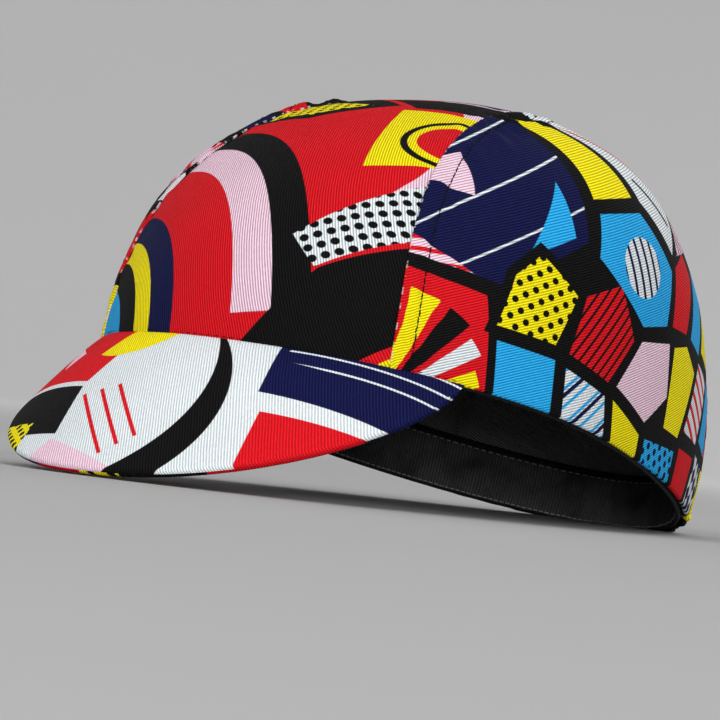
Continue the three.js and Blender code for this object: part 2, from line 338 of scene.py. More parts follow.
def seam_turn(step):
    """Turn over the seam's edge and drop into the seam, for steps beyond the edge."""
    turn = np.pi / 2 * np.clip(step / (TURN_STEPS - 1), 0, 1)
    drop = np.clip(step - (TURN_STEPS - 1), 0, 1) * SEAM_TURN
    return turn, drop


def rolled(points, normal, outward, turn, radius):
    """Points moved round a roll of the cloth at an edge, outward being the way off the sheet."""
    c, s = np.cos(turn)[..., None], np.sin(turn)[..., None]
    return points + radius * ((c - 1) * normal + s * outward)


def arc_lengths(points):
    steps = np.linalg.norm(np.diff(points, axis=0), axis=1)
    return np.concatenate([[0], np.cumsum(steps)])


def merge_doubles(piece, *steps):
    """Closes a grid where its edges meet, before any more edit-mode steps."""
    in_edit_mode(piece, ("remove_doubles", {"threshold": 0.01 * MM}), *steps)


def finish_cloth(piece, cloth, lining, inner_point=INSIDE_CAP, thickness=CLOTH):
    """Gives a laid sheet its wall: closed doubles, faces out, thickness with its lining, smooth shading."""
    piece.data.materials.append(cloth)
    piece.data.materials.append(lining)
    merge_doubles(piece)
    faces_outwards(piece, inner_point)
    modify(piece, "SOLIDIFY", thickness=thickness, offset=-1, material_offset=1, material_offset_rim=1)
    for corner in piece.data.vertices:
        corner.co.z = max(corner.co.z, FLOOR_CLEARANCE)
    smooth_shade(piece)


def width_scale(share):
    """Distance square to the seam for each unit of distance from the middle line, at the strip's edge."""
    edge = strip_half_width(share)
    inner, outer = (crown_point(strip_direction(share, edge + d)) for d in (-MM / 2, MM / 2))
    near = (share + 1e-3, share - 1e-3)
    ahead, behind = (crown_point(strip_direction(s, strip_half_width(s))) for s in near)
    run, step = unit(ahead - behind), (outer - inner) / MM
    return np.sqrt(np.maximum((step**2).sum(-1) - (step * run).sum(-1) ** 2, 0.05))


def strip_relief(direction, height, from_middle, share, off_seam):
    """How far the strip stands out of the smooth crown: gathers, swells, and puckers by the seams."""
    swell = waves(from_middle, share * STRIP_RUN, STRIP_SWELL_LENGTH, 2)
    pucker = waves(off_seam, share * STRIP_RUN, STRIP_PUCKER_LENGTH, 8)
    lift = gathers(direction, height) + STRIP_SWELL * swell * smooth_step(0, 15 * MM, off_seam)
    lift = lift + STRIP_PUCKER * pucker * smooth_step(10 * MM, 0, off_seam)
    return lift - STRIP_DIP * smooth_step(3 * MM, 0, off_seam)


def middle_panel(cloth, lining):
    """Strip of the crown from the brow's hem to the back's, tucked in under both side panels."""
    columns = edge_profile(64, len(UNDERLAP_OUT) - 1, len(UNDERLAP_OUT) - 1)
    rows = edge_profile(210, ROLL_STEPS + UP_STEPS, ROLL_STEPS + UP_STEPS)
    across, beyond_seam = (a[:, None] for a in (columns[:, 0] * 2 - 1, columns[:, 1]))
    share, beyond_hem = (a[None, :] for a in rows.T)
    hem_turn, depth, back_up = hem_fold(np.abs(beyond_hem))
    share = share - np.sign(beyond_hem) * back_up / STRIP_RUN
    half = strip_half_width(share)
    tucked = np.interp(np.abs(beyond_seam), range(len(UNDERLAP_OUT)), UNDERLAP_OUT)
    sunk = np.interp(np.abs(beyond_seam), range(len(UNDERLAP_OUT)), UNDERLAP_DEPTH)
    from_middle = across * half + np.sign(across) * tucked / width_scale(share)
    direction = strip_direction(share, from_middle)
    point, normal = crown_point(direction), crown_normal(direction)
    near = (share + 1e-3, share - 1e-3)
    ahead, behind = (crown_point(strip_direction(s, across * strip_half_width(s))) for s in near)
    along = unit(ahead - behind)
    lift = strip_relief(direction, point[..., 2], across * half, share, half * (1 - np.abs(across)))
    point = point + (lift - depth)[..., None] * normal
    hem_out = along * np.sign(beyond_hem)[..., None]
    point = rolled(point, normal, hem_out, hem_turn + 0 * across, HEM_ROLL)
    point = point - (sunk + 0 * share)[..., None] * normal
    shares = np.linspace(0, 1, 400)
    middle = crown_point(strip_direction(shares, 0 * shares))
    v = np.interp(share, shares, arc_lengths(middle)) + 0 * across
    v = v + beyond_hem * HEM_ROLL * 0.6
    piece = new_grid("middle_panel_cloth", len(columns), len(rows))
    lay_grid(piece, len(columns), len(rows), to_row(point), stack(from_middle + 0 * share, v))
    finish_cloth(piece, cloth, lining)
    return piece


def hem_length_at(y):
    """Length along the hem from the front, for the hem's point that lies as far back as y."""
    angle = np.radians(np.linspace(15, 170, 400))
    points = rim_point(angle)
    run = arc_lengths(points)
    slope_low = (run[1] - run[0]) / (points[1, 1] - points[0, 1])
    slope_high = (run[-1] - run[-2]) / (points[-1, 1] - points[-2, 1])
    before, after = np.minimum(y - points[0, 1], 0), np.maximum(y - points[-1, 1], 0)
    return np.interp(y, points[:, 1], run) + before * slope_low + after * slope_high


def side_relief(side, direction, point, off_seam, share):
    """How far a side panel stands out of the smooth crown: gathers, puckers and the topstitch's groove."""
    along_seam = share * STRIP_RUN + 0 * off_seam
    swell = waves(point[..., 1], point[..., 2], SIDE_SWELL_LENGTH, 3 + side)
    lift = gathers(direction, point[..., 2]) + SIDE_SWELL * swell * smooth_step(0, 20 * MM, off_seam)
    lift = lift + LAP * smooth_step(TOPSTITCH_AT * 1.25, TOPSTITCH_AT * 0.5, off_seam)
    pull = 0.7 + 0.3 * np.cos(2 * np.pi * along_seam / TOPSTITCH_PITCH)
    lift = lift - GROOVE_DEPTH * bell(off_seam, TOPSTITCH_AT, GROOVE_WIDTH) * pull
    drawn_in = DRAWN_MORE * bell(share, DRAWN_AT, DRAWN_SPREAD)
    pucker = waves(off_seam * 0.25, along_seam, SIDE_PUCKER_LENGTH, 11 + side)
    near = smooth_step(17 * MM, TOPSTITCH_AT, off_seam) * smooth_step(0, 2 * MM, off_seam)
    lift = lift + SIDE_PUCKER * near * pucker * (1 + drawn_in)
    dent = bell(off_seam, TOPSTITCH_AT, SEAM_DENT_WIDTH) * np.cos(2 * np.pi * along_seam / SEAM_DENT_LENGTH)
    return lift + SEAM_DENT * smooth_step(0, 3 * MM, off_seam) * dent * drawn_in


def line_off_seam(point, normal, off_seam, distance):
    """Line on a panel at a distance from the seam, as points and the ways out of the cloth."""
    places, ways = [], []
    for column, out, off in zip(point, normal, off_seam):
        k = int(np.argmax(off > distance))
        if k > 0:
            part = (distance - off[k - 1]) / (off[k] - off[k - 1])
            places.append(column[k - 1] + part * (column[k] - column[k - 1]))
            ways.append(out[k])
    return np.array(places), np.array(ways)


def side_panel(name, side, cloth, lining):
    """A side panel, and the line of its topstitch; side is 1 on the wearer's left and -1 on the right."""
    main_rows = 56
    share = np.linspace(0, 1, 190)[:, None]
    rows = edge_profile(main_rows, TURN_STEPS, ROLL_STEPS + UP_STEPS)
    down, beyond = (a[None, :] for a in rows.T)
    beyond_seam, beyond_hem = np.maximum(-beyond, 0), np.maximum(beyond, 0)

    def seam_at(s):
        return strip_direction(s, side * (strip_half_width(s) + (SEAM_GAP / 2 + SEAM_ROLL) / width_scale(s)))

    seam = seam_at(share)
    ends = seam_at(np.array([0.0, 1.0]))
    brow, back = np.arctan2(side * ends[:, 0], -ends[:, 1])
    angle = brow * (1 - share) + back * share
    hem = stack(side * np.sin(angle), -np.cos(angle), 0 * angle)
    hem_turn, depth, back_up = hem_fold(beyond_hem)
    drop_height = np.linalg.norm(crown_point(seam) - crown_point(hem), axis=-1)
    down = np.clip(down - back_up / np.maximum(drop_height, 2 * MM), 0, 1)
    direction = unit(seam * (1 - down)[..., None] + hem * down[..., None])
    point, normal = crown_point(direction), crown_normal(direction)
    ahead, behind = crown_point(seam_at(share + 2e-3)), crown_point(seam_at(share - 2e-3))
    seam_run = unit(ahead - behind)
    seam_out = unit(np.cross(seam_run, crown_normal(seam)))
    seam_out = np.where(seam_out[..., :1] * side > 0, -seam_out, seam_out)
    rim_run = unit(rim_point(side * (angle + 1e-3)) - rim_point(side * (angle - 1e-3)))
    hem_out = unit(np.cross(rim_run, crown_normal(hem)))
    hem_out = np.where(hem_out[..., 2:] > 0, -hem_out, hem_out)

    gap = point[:, :, None, :] - crown_point(seam_at(np.linspace(0, 1, 300)[::3]))
    off_seam = np.sqrt((gap**2).sum(-1)).min(-1)
    lift = side_relief(side, direction, point, off_seam, share)
    point = point + (lift - depth)[..., None] * normal
    point = rolled(point, normal, hem_out + 0 * point, hem_turn + 0 * share, HEM_ROLL)
    over, fall = seam_turn(beyond_seam)
    point = rolled(point, normal, seam_out + 0 * point, over + 0 * share, SEAM_ROLL)
    point = point - (fall + 0 * share)[..., None] * normal

    sheet = slice(TURN_STEPS, TURN_STEPS + main_rows + 1)
    stitches = line_off_seam(point[:, sheet], normal[:, sheet], off_seam[:, sheet], TOPSTITCH_AT)

    foot_y = point[..., 1]
    angles = np.linspace(0.2, 2.9, 300)
    foot_x = rim_point(np.interp(foot_y, rim_point(angles)[:, 1], angles))[..., 0]
    v = CLOTH_PER_RISE * np.hypot(point[..., 2], foot_x - np.abs(point[..., 0]))
    u = hem_length_at(foot_y) - hem_length_at(rim_point(angle[0, 0])[1])
    piece = new_grid(name, len(share), rows.shape[0])
    fold = (beyond_seam > 0) * (beyond_seam < TURN_STEPS) + 0 * share
    lay_grid(piece, len(share), rows.shape[0], to_row(point), stack(u * side, v), fold)
    finish_cloth(piece, cloth, lining)
    return piece, stitches


def peak_frame(across, down):
    """Upper face of the peak, with the rim's point and the angle that each of its points starts from."""
    angle = across * PEAK_HALF_ANGLE
    root = rim_point(angle)
    forward = unit(stack(PEAK_FAN * np.sin(angle), -1 + 0 * angle, 0 * angle))
    outline = (1 - np.abs(across) ** PEAK_POWER) ** PEAK_BLUNT
    reach = PEAK_LENGTH * outline * down
    drop = PEAK_LENGTH * outline * math.sin(PEAK_SLOPE) * down**PEAK_DOME
    lift = PEAK_CAMBER * across**2 * np.sin(np.pi * np.abs(across)) * down
    point = root + forward * (reach * math.cos(PEAK_SLOPE))[..., None]
    point[..., 2] += lift - drop - PEAK_BELOW_HEM
    return point, root, angle


def peak_cover(name, upper, cloth):
    """One cover of the peak: its face, the roll over the edge, and the turn into the seam between the two."""
    columns_main, rows_main, roll = 190, 44, 6
    across = PEAK_END * np.sin(np.pi * (np.linspace(0, 1, columns_main) - 0.5))[:, None]
    down = np.linspace(0, 1, rows_main)[None, :]
    point, root, angle = peak_frame(across + 0 * down, down + 0 * across)
    d_across = np.gradient(point, axis=0)
    d_down = point - np.roll(point, 1, axis=1)
    d_down[:, 0] = d_down[:, 1]
    normal = unit(np.cross(d_across, d_down))
    normal = np.where(normal[..., 2:] < 0, -normal, normal)
    edge, edge_normal = point[:, -1], normal[:, -2]
    tangent = unit(np.gradient(edge, axis=0))
    off = unit(np.cross(tangent, edge_normal))
    centre = np.array([0, -80 * MM, -10 * MM])
    off = np.where(((edge - centre) * off).sum(-1, keepdims=True) < 0, -off, off)
    reach = np.linalg.norm(edge - point[:, 0], axis=1)[:, None]
    full_roll = UPPER_ROLL if upper else UNDER_ROLL
    radius = np.minimum(full_roll, ROLL_OF_REACH * reach)
    point = point - (radius * off)[:, None, :] * (down**3)[..., None]
    if not upper:
        thinner = np.minimum(1, (radius / full_roll) ** 0.5)[:, None]
        point = point - PEAK_DEPTH * (thinner + (1 - thinner) * (1 - down[..., None])) * normal
    side = 1 if upper else -1
    face_normal = side * edge_normal
    turns = np.linspace(0, np.pi / 2, roll)[1:]
    rolls = [point[:, -1] + radius * (math.sin(a) * off + (math.cos(a) - 1) * face_normal) for a in turns]
    tucks = [rolls[-1] - inwards * radius * off - away * radius * face_normal for inwards, away in PEAK_TUCK]
    start = angle[:, 0]
    outward = unit(stack(np.sin(start) / HALF_WIDTH, -np.cos(start) / HALF_LENGTH, 0 * start))
    under_hem = point[:, 0] - PEAK_UNDER_CROWN * outward
    rows = np.stack([under_hem, *np.moveaxis(point, 1, 0), *rolls, *tucks], 1)
    run = np.cumsum(np.linalg.norm(np.diff(rows, axis=1), axis=2), axis=1)
    run = np.concatenate([np.zeros((columns_main, 1)), run], 1)
    v = run - math.cos(PEAK_SLOPE) * (root[:, :1, 1] - root[columns_main // 2, 0, 1])
    piece = new_grid(name, rows.shape[0], rows.shape[1])
    lay_grid(piece, rows.shape[0], rows.shape[1], to_row(rows), stack(rows[..., 0], v))
    middle = columns_main // 2, rows_main // 2
    behind_face = to_row(point[middle] - side * 20 * MM * normal[middle])
    finish_cloth(piece, cloth, cloth, Vector(behind_face), PEAK_CLOTH)
    return piece


def band_point(angle, height, depth):
    """A point of the sweatband at a height over the hem and a depth under the crown's outer face."""
    lift = np.maximum(height, 0) / (CROWN_HEIGHT * (1 + SHOULDER))
    direction = unit(stack(np.sin(angle), -np.cos(angle), lift + 0 * angle))
    point = crown_point(direction) - np.asarray(depth + 0 * angle)[..., None] * crown_normal(direction)
    point[..., 2] += np.minimum(height, 0)
    return point


def band_ripple(angle):
    """How far the elastic draws the band in at the back, in small folds."""
    off_back = np.pi - np.abs(np.arctan2(np.sin(angle), np.cos(angle)))
    fade = smooth_step(0, 1, 1 - off_back / BAND_RIPPLE_REACH)
    return BAND_RIPPLE * fade * (0.5 + 0.5 * np.sin(BAND_RIPPLE_COUNT * angle + 2 * np.sin(7 * angle)))


def sweatband(knit):
    """Closed band inside the rim, laid from its top down the outer face, round and up the inner face."""
    around, up = 420, 26
    heights = np.linspace(-BAND_BELOW + BAND_ROLL, BAND_HEIGHT - BAND_ROLL, up)
    turns = np.linspace(-np.pi / 2, np.pi / 2, 7)
    angle = np.linspace(0, 2 * np.pi, around + 1)
    ripple = band_ripple(angle)
    inside_run = INSIDE_RUN_FROM * MM
    ring, run = [], []

    def lay(height, depth, at):
        ring.append(band_point(angle, height, depth))
        run.append(at)

    for h in heights[::-1]:
        lay(h, BAND_DEPTH, h)
    for a in turns:
        h = heights[0] - BAND_ROLL * math.cos(a)
        lay(h, BAND_DEPTH + (BAND_THICK + ripple) * (1 + math.sin(a)) / 2, h)
    for k, h in enumerate(heights):
        below_top = BAND_HEIGHT - h
        belly = BAND_BELLY * math.sin(np.pi * k / (up - 1))
        belly -= BAND_PINCH * bell(below_top, BAND_STITCH_AT, BAND_PINCH_WIDTH)
        belly -= BAND_TAPER * max(0, 1 - below_top / BAND_STITCH_AT)
        lay(h, BAND_DEPTH + BAND_THICK + belly + ripple, h + inside_run)
    for a in turns[::-1]:
        h = heights[-1] + BAND_ROLL * math.cos(a)
        lay(h, BAND_DEPTH + (BAND_TOP_THICK + ripple) * (1 + math.sin(a)) / 2, h + inside_run)
    ring.append(ring[0])
    run.append(2 * inside_run)
    length = arc_lengths(rim_point(angle))
    piece = new_grid("sweatband_knit", around + 1, len(ring))
    piece.data.materials.append(knit)
    lay_grid(piece, around + 1, len(ring), to_row(np.stack(ring, 1)), stack(length[:, None], np.array(run)))
    merge_doubles(piece, ("normals_make_consistent", {"inside": False}))
    smooth_shade(piece, 80)
    return piece


def stitch_shape(length, width):
    """One stitch: a short thread, fat in the middle, with its ends sunk into the cloth."""
    bpy.ops.object.select_all(action="DESELECT")
    lying = (0, math.pi / 2, 0)
    bpy.ops.mesh.primitive_cylinder_add(vertices=6, radius=width / 2, depth=length, rotation=lying)
    stitch = bpy.context.object
    bpy.ops.object.transform_apply(location=True, rotation=True, scale=True)
    in_edit_mode(stitch, ("subdivide", {"number_cuts": 1}))
    sharp = {"limit_method": "ANGLE", "angle_limit": math.radians(60)}
    modify(stitch, "BEVEL", width=width * 0.42, segments=2, **sharp)
    for vertex in stitch.data.vertices:
        vertex.co.z -= (vertex.co.x / (length / 2)) ** 2 * width * 0.55
    return stitch


def sewn_line(name, stitch, places, thread):
    """Copies of one stitch at (place, along, out) triples, joined into one mesh."""
    base = np.array([v.co for v in stitch.data.vertices])
    faces = [tuple(p.vertices) for p in stitch.data.polygons]
    corners, sides = [], []
    for place, along, out in places:
        x = along / np.linalg.norm(along)
        z = out - x * np.dot(out, x)
        z /= np.linalg.norm(z)
        turn = np.stack([x, np.cross(z, x), z])
        sides += [tuple(k + len(corners) * len(base) for k in f) for f in faces]
        corners.append(base @ turn + place)
        corners[-1][:, 2] = np.maximum(corners[-1][:, 2], FLOOR_CLEARANCE)
    mesh = bpy.data.meshes.new(name)
    mesh.from_pydata(np.concatenate(corners).tolist(), [], sides)
    line = bpy.data.objects.new(name, mesh)
    bpy.context.collection.objects.link(line)
    mesh.shade_smooth()
    mesh.materials.append(thread)
    return line


def along_line(points, normals, pitch, start=0.0, height=0.0):
    """Places a pitch apart along a row-frame line, with its direction and the way out of the cloth."""
    run = arc_lengths(points)

    def read(values, at):
        return np.array([np.interp(at, run, values[:, k]) for k in range(3)])

    places = []
    for at in np.arange(start, run[-1] - pitch * 0.5, pitch):
        place, out = read(points, at), read(normals, at)
        places.append((place + height * out, read(points, at + pitch * 0.4) - place, out))
    return places


def row_turn(vectors):
    return vectors @ np.array(CAP_TURN).T


def topstitching(point, normal):
    return along_line(to_row(point), row_turn(normal), TOPSTITCH_PITCH, 1 * MM, THREAD_LIFT)


def hem_stitching():
    """Stitches along the brow's hem, over the seam of the peak."""
    angle = np.linspace(-PEAK_HALF_ANGLE * 0.98, PEAK_HALF_ANGLE * 0.98, 300)
    normal = crown_normal(stack(np.sin(angle), -np.cos(angle), 0 * angle))
    point = rim_point(angle) + THREAD_LIFT * normal + np.array([0, 0, 0.2 * MM])
    return along_line(to_row(point), row_turn(normal), BROW_PITCH, 0.6 * MM)


def band_stitching(height, pitch):
    """Stitches round the inner face of the sweatband, at a height over the hem."""
    angle = np.linspace(0, 2 * np.pi, 700)
    depth = BAND_DEPTH + BAND_THICK + band_ripple(angle) + BAND_THREAD_LIFT
    normal = -crown_normal(stack(np.sin(angle), -np.cos(angle), 0 * angle))
    return along_line(to_row(band_point(angle, height, depth)), row_turn(normal), pitch)


class Value:
    """A number socket whose arithmetic adds Math nodes."""

    def __init__(self, shader, socket):
        self.shader, self.socket = shader, socket

    def __add__(self, other):
        return self.shader.math("ADD", self, other)

    def __sub__(self, other):
        return self.shader.math("SUBTRACT", self, other)

    def __rsub__(self, other):
        return self.shader.math("SUBTRACT", other, self)

    def __mul__(self, other):
        return self.shader.math("MULTIPLY", self, other)

    __radd__, __rmul__ = __add__, __mul__


class Shader:
    """A material made of expressions. Lengths on the cloth are in millimetres."""

    def __init__(self, name):
        self.material = bpy.data.materials.new(name)
        self.material.use_nodes = True
        self.tree = self.material.node_tree
        self.tree.nodes.clear()
        self.place = 0

    def node(self, kind, settings=None, inputs=None):
        """Any node, by its type, its settings and the values or links of its sockets."""
        node = self.tree.nodes.new(kind)
        node.location = (self.place // 12 * 170, -(self.place % 12) * 150)
        self.place += 1
        for key, value in (settings or {}).items():
            setattr(node, key, value)
        for key, value in (inputs or {}).items():
            self.feed(node.inputs[key], value)
        return node

    def feed(self, socket, value):
        if isinstance(value, Value):
            value = value.socket
        if isinstance(value, bpy.types.NodeSocket):
            self.tree.links.new(value, socket)
        else:
            socket.default_value = value

    def math(self, operation, *values, clamp=False):
        settings = {"operation": operation, "use_clamp": clamp}
        return Value(self, self.node("ShaderNodeMath", settings, dict(enumerate(values))).outputs[0])

    def vector(self, operation, *values, output=0):
        node = self.node("ShaderNodeVectorMath", {"operation": operation}, dict(enumerate(values)))
        return Value(self, node.outputs[output])

    def mix(self, share, first, second):
        inputs = {0: share, 6: first, 7: second}
        return self.node("ShaderNodeMix", {"data_type": "RGBA"}, inputs).outputs[2]

    def noise(self, place, scale, detail=2.0, stretch=None):
        if stretch:
            place = self.vector("MULTIPLY", place, stretch)
        node = self.node("ShaderNodeTexNoise", {}, {"Vector": place, "Scale": scale, "Detail": detail})
        return Value(self, node.outputs[0])

    def cut_place(self, shift=0):
        """Place on the flat cloth in millimetres, with 1 in the third number."""
        cut = self.node("ShaderNodeUVMap", {"uv_map": "cut"}).outputs[0]
        return self.vector("MULTIPLY_ADD", cut, (100, 100, 0), (shift, 0, 1))

    def finish(self, surface):
        """Closes the material with one surface, its sockets given by name."""
        shader = self.node("ShaderNodeBsdfPrincipled", {}, surface)
        self.node("ShaderNodeOutputMaterial", {}, {"Surface": shader.outputs[0]})
        return self.material

    def finish_matt(self, colour, roughness, shine, height, strength, depth):
        """Closes the material with matt cloth or thread, whose relief has a depth in metres."""
        relief = {"Strength": strength, "Distance": depth, "Height": height}
        bump = self.node("ShaderNodeBump", {}, relief).outputs[0]
        surface = {"Base Color": colour, "Roughness": roughness, "Normal": bump}
        return self.finish({**surface, "Specular IOR Level": shine})

    def edge(self, distance, soft=0.22):
        """1 inside a shape and 0 outside, from the distance to its edge."""
        return self.math("MULTIPLY_ADD", distance, 1 / soft, 0.5, clamp=True)


# Inks of the print
RED = (0.76, 0.005, 0.013, 1)
PINK = (0.93, 0.65, 0.78, 1)
YELLOW = (1, 0.85, 0.002, 1)
NAVY = (0.003, 0.005, 0.058, 1)
BLACK = (0.0016, 0.0016, 0.0015, 1)
SKY = (0.022, 0.43, 0.9, 1)
WHITE = (0.81, 0.87, 0.9, 1)
INKS = {"red": RED, "pink": PINK, "yellow": YELLOW, "navy": NAVY, "black": BLACK, "sky": SKY, "white": WHITE}
# Yarn without ink, and the black cloths with painted shade in their grooves, painted highlight on their ribs
# and painted shade where the knit is folded or hidden
BARE_YARN = (0.6, 0.58, 0.56, 1)
LINING_GROOVE_SHADE, LINING_RIB_HIGHLIGHT = (0.006, 0.006, 0.0062, 1), (0.2, 0.2, 0.205, 1)
KNIT_GROOVE_SHADE, KNIT_RIB_HIGHLIGHT = (0.003, 0.003, 0.0031, 1), (0.085, 0.085, 0.088, 1)
KNIT_FOLD_SHADE = (0.005, 0.005, 0.005, 1)
BLACK_THREAD, GREY_THREAD = (0.003, 0.003, 0.003), (0.3, 0.3, 0.3)


def cell(sh, p, *corners):
    """Distance inside a convex shape with straight sides, from its corners in order."""
    pairs = list(zip(corners, corners[1:] + corners[:1]))
    turn = math.copysign(1, sum(x1 * y2 - x2 * y1 for (x1, y1), (x2, y2) in pairs))
    inside = None
    for (x1, y1), (x2, y2) in pairs:
        length = math.hypot(x2 - x1, y2 - y1) * turn
        nx, ny = -(y2 - y1) / length, (x2 - x1) / length
        side = sh.vector("DOT_PRODUCT", p, (nx, ny, -(nx * x1 + ny * y1)), output=1)
        inside = side if inside is None else sh.math("MINIMUM", inside, side)
    return inside


def disc(sh, p, x, y, radius):
    return radius - sh.vector("DISTANCE", p, (x, y, 1), output=1)


def ring(sh, p, x, y, radius, width):
    return width / 2 - sh.math("ABSOLUTE", disc(sh, p, x, y, radius))


def crescent(sh, p, x, y, radius, x2, y2, radius2):
    """A disc with a bite taken out by a second one."""
    return sh.math("MINIMUM", disc(sh, p, x, y, radius), -1 * disc(sh, p, x2, y2, radius2))


def wedge(sh, p, x, y, radius, start, end):
    """A slice of a disc between two headings less than half a turn apart."""
    a, b = math.radians(start), math.radians(end)
    first = (-math.sin(a), math.cos(a), math.sin(a) * x - math.cos(a) * y)
    last = (math.sin(b), -math.cos(b), math.cos(b) * y - math.sin(b) * x)
    sides = [sh.vector("DOT_PRODUCT", p, line, output=1) for line in (first, last)]
    return sh.math("MINIMUM", disc(sh, p, x, y, radius), sh.math("MINIMUM", *sides))


def bar(sh, p, x1, y1, x2, y2, width):
    length = math.hypot(x2 - x1, y2 - y1)
    sx, sy = -(y2 - y1) / length * width / 2, (x2 - x1) / length * width / 2
    return cell(sh, p, (x1 - sx, y1 - sy), (x2 - sx, y2 - sy), (x2 + sx, y2 + sy), (x1 + sx, y1 + sy))


def across_at(sh, p, degrees, pitch):
    """How many pitches a point lies along a heading on the cloth."""
    a = math.radians(degrees)
    return sh.vector("DOT_PRODUCT", p, (math.cos(a) / pitch, math.sin(a) / pitch, FIRST_LINE), output=1)


def stripes(sh, p, degrees, pitch, width):
    """Bands a pitch apart, counted along a heading."""
    place = sh.math("FRACT", across_at(sh, p, degrees, pitch))
    return sh.edge((width / 2) - pitch * sh.math("ABSOLUTE", place - 0.5))


def dots(sh, p, degrees, pitch, radius):
    a = sh.math("FRACT", across_at(sh, p, degrees, pitch)) - 0.5
    b = sh.math("FRACT", across_at(sh, p, degrees + 90, pitch)) - 0.5
    return sh.edge(radius - pitch * sh.math("SQRT", a * a + b * b))


def checks(sh, p, degrees, pitch):
    a = sh.math("PINGPONG", across_at(sh, p, degrees, pitch), 1) - 0.5
    b = sh.math("PINGPONG", across_at(sh, p, degrees + 90, pitch), 1) - 0.5
    return sh.math("MULTIPLY_ADD", a * b, 40, 0.5, clamp=True)


SHAPES = {"cell": cell, "disc": disc, "ring": ring, "crescent": crescent, "wedge": wedge, "bar": bar}
FILLS = {"stripes": stripes, "dots": dots, "checks": checks}


def printed(sh, p, ground, table):
    """The print: each row is a shape, its numbers and its ink, and then any outline and fills with theirs."""
    colour = INKS[ground]
    for shape, numbers, ink, *extras in table:
        inside = SHAPES[shape](sh, p, *numbers)
        paint = INKS[ink]
        for kind, second, *settings in extras:
            if kind == "outline":
                colour = sh.mix(sh.edge(inside + settings[0]), colour, INKS[second])
            else:
                paint = sh.mix(FILLS[kind](sh, p, *settings), paint, INKS[second])
        colour = sh.mix(sh.edge(inside), colour, paint)
    return colour


# Heading across the ribs of each piece, in degrees on the flat cloth, and the space from rib to rib
MIDDLE_RIBS, SIDE_RIBS, PEAK_RIBS, LINING_RIBS = 25, 119, 151, 130
RIB_PITCH = 0.71
# Share of the ink darkened by painted shade in the grooves of the crown and of the peak, and painted
# highlight of the fibres on the ribs
CROWN_GROOVE_SHADE, PEAK_GROOVE_SHADE, FIBRE_HIGHLIGHT = 0.6, 0.45, 0.011
# Pitch of the band's upright ribs and of the rows across them
WALE_PITCH, ROW_PITCH = 0.95, 0.7
# Where the first rib, stripe, dot or check lies, as a share of its pitch
FIRST_LINE = 0.13
# The right panel is cut from another stretch of the same print
RIGHT_SHIFT = 172

# Arcs over the brow as radius, heading where they start and ink, and the fan by the seam as radius, the
# headings of its two sides and ink
BROW_ARCS = [
    (92, 12, "black"), (82, 12, "pink"), (71, 4, "red"), (52, -5, "navy"),
    (43, -5, "yellow"), (36, -5, "black"), (27, -5, "sky"),
]
SEAM_FAN = [(35, 71, 84, "yellow"), (35, 55, 66, "black"), (33, 41, 50, "white"), (30, 26, 35, "yellow")]

# Print of each piece of cloth, in millimetres on the flat cloth
MIDDLE_PRINT = [
    *[("wedge", [-60, -8, radius, start, 95], ink) for radius, start, ink in BROW_ARCS],
    ("cell", [(10, -8), (36, -8), (60, 20), (60, 54), (28, 24)], "black"),
    ("cell", [(60, -8), (60, 16), (40, -8)], "yellow"),
    ("crescent", [-2, 84, 52, -14, 72, 51], "pink"),
    ("cell", [(18, 32), (27, 24), (60, 58), (60, 78), (40, 64)], "white",
     ("dots", "black", 38, 3.5, 1.2)),
    ("cell", [(22, 62), (60, 86), (60, 112), (8, 100)], "yellow"),
    ("disc", [34, 86, 9], "red"),
    ("ring", [34, 86, 12.5, 2], "black"),
    ("cell", [(-60, 88), (-14, 86), (4, 104), (-24, 122), (-60, 116)], "black"),
    ("cell", [(-60, 92), (-16, 90), (-4, 102), (-60, 112)], "yellow", ("dots", "black", 20, 3.2, 0.9)),
    ("cell", [(10, 103), (60, 116), (60, 128), (-8, 114)], "black"),
    ("cell", [(-60, 122), (-6, 116), (10, 148), (-60, 152)], "pink", ("stripes", "black", 62, 4.2, 0.9)),
    ("cell", [(2, 118), (60, 132), (60, 158), (14, 148)], "navy"),
    ("bar", [12, 125, 54, 138, 1.0], "white"),
    ("bar", [14, 130, 54, 142.5, 1.0], "white"),
    ("cell", [(-60, 152), (60, 158), (60, 320), (-60, 320)], "black"),
    ("cell", [(-60, 156), (-8, 152), (-2, 180), (-60, 190)], "white", ("stripes", "red", 12, 6, 2.4)),
    ("cell", [(0, 154), (60, 164), (60, 196), (20, 188)], "yellow"),
    ("disc", [-14, 204, 17], "sky", ("outline", "black", 2.4)),
    ("disc", [-14, 204, 9], "white", ("stripes", "navy", 40, 3.2, 1.2)),
    ("cell", [(12, 196), (60, 202), (60, 228), (14, 222)], "white", ("checks", "black", 10, 4)),
    ("cell", [(-60, 192), (-36, 190), (-34, 232), (-60, 236)], "red"),
    ("cell", [(-28, 232), (4, 228), (10, 254), (-22, 262)], "yellow", ("dots", "black", 38, 3.4, 1.0)),
    ("cell", [(16, 232), (60, 236), (60, 262), (22, 258)], "pink"),
    ("cell", [(-60, 244), (-32, 240), (-28, 268), (-60, 272)], "sky"),
    ("cell", [(-24, 270), (12, 262), (14, 291), (-18, 292)], "navy", ("stripes", "pink", 60, 5, 1.2)),
    ("cell", [(20, 266), (60, 270), (60, 286), (24, 292)], "red"),
    ("cell", [(-60, 280), (-30, 276), (-26, 292), (-60, 291)], "white"),
]
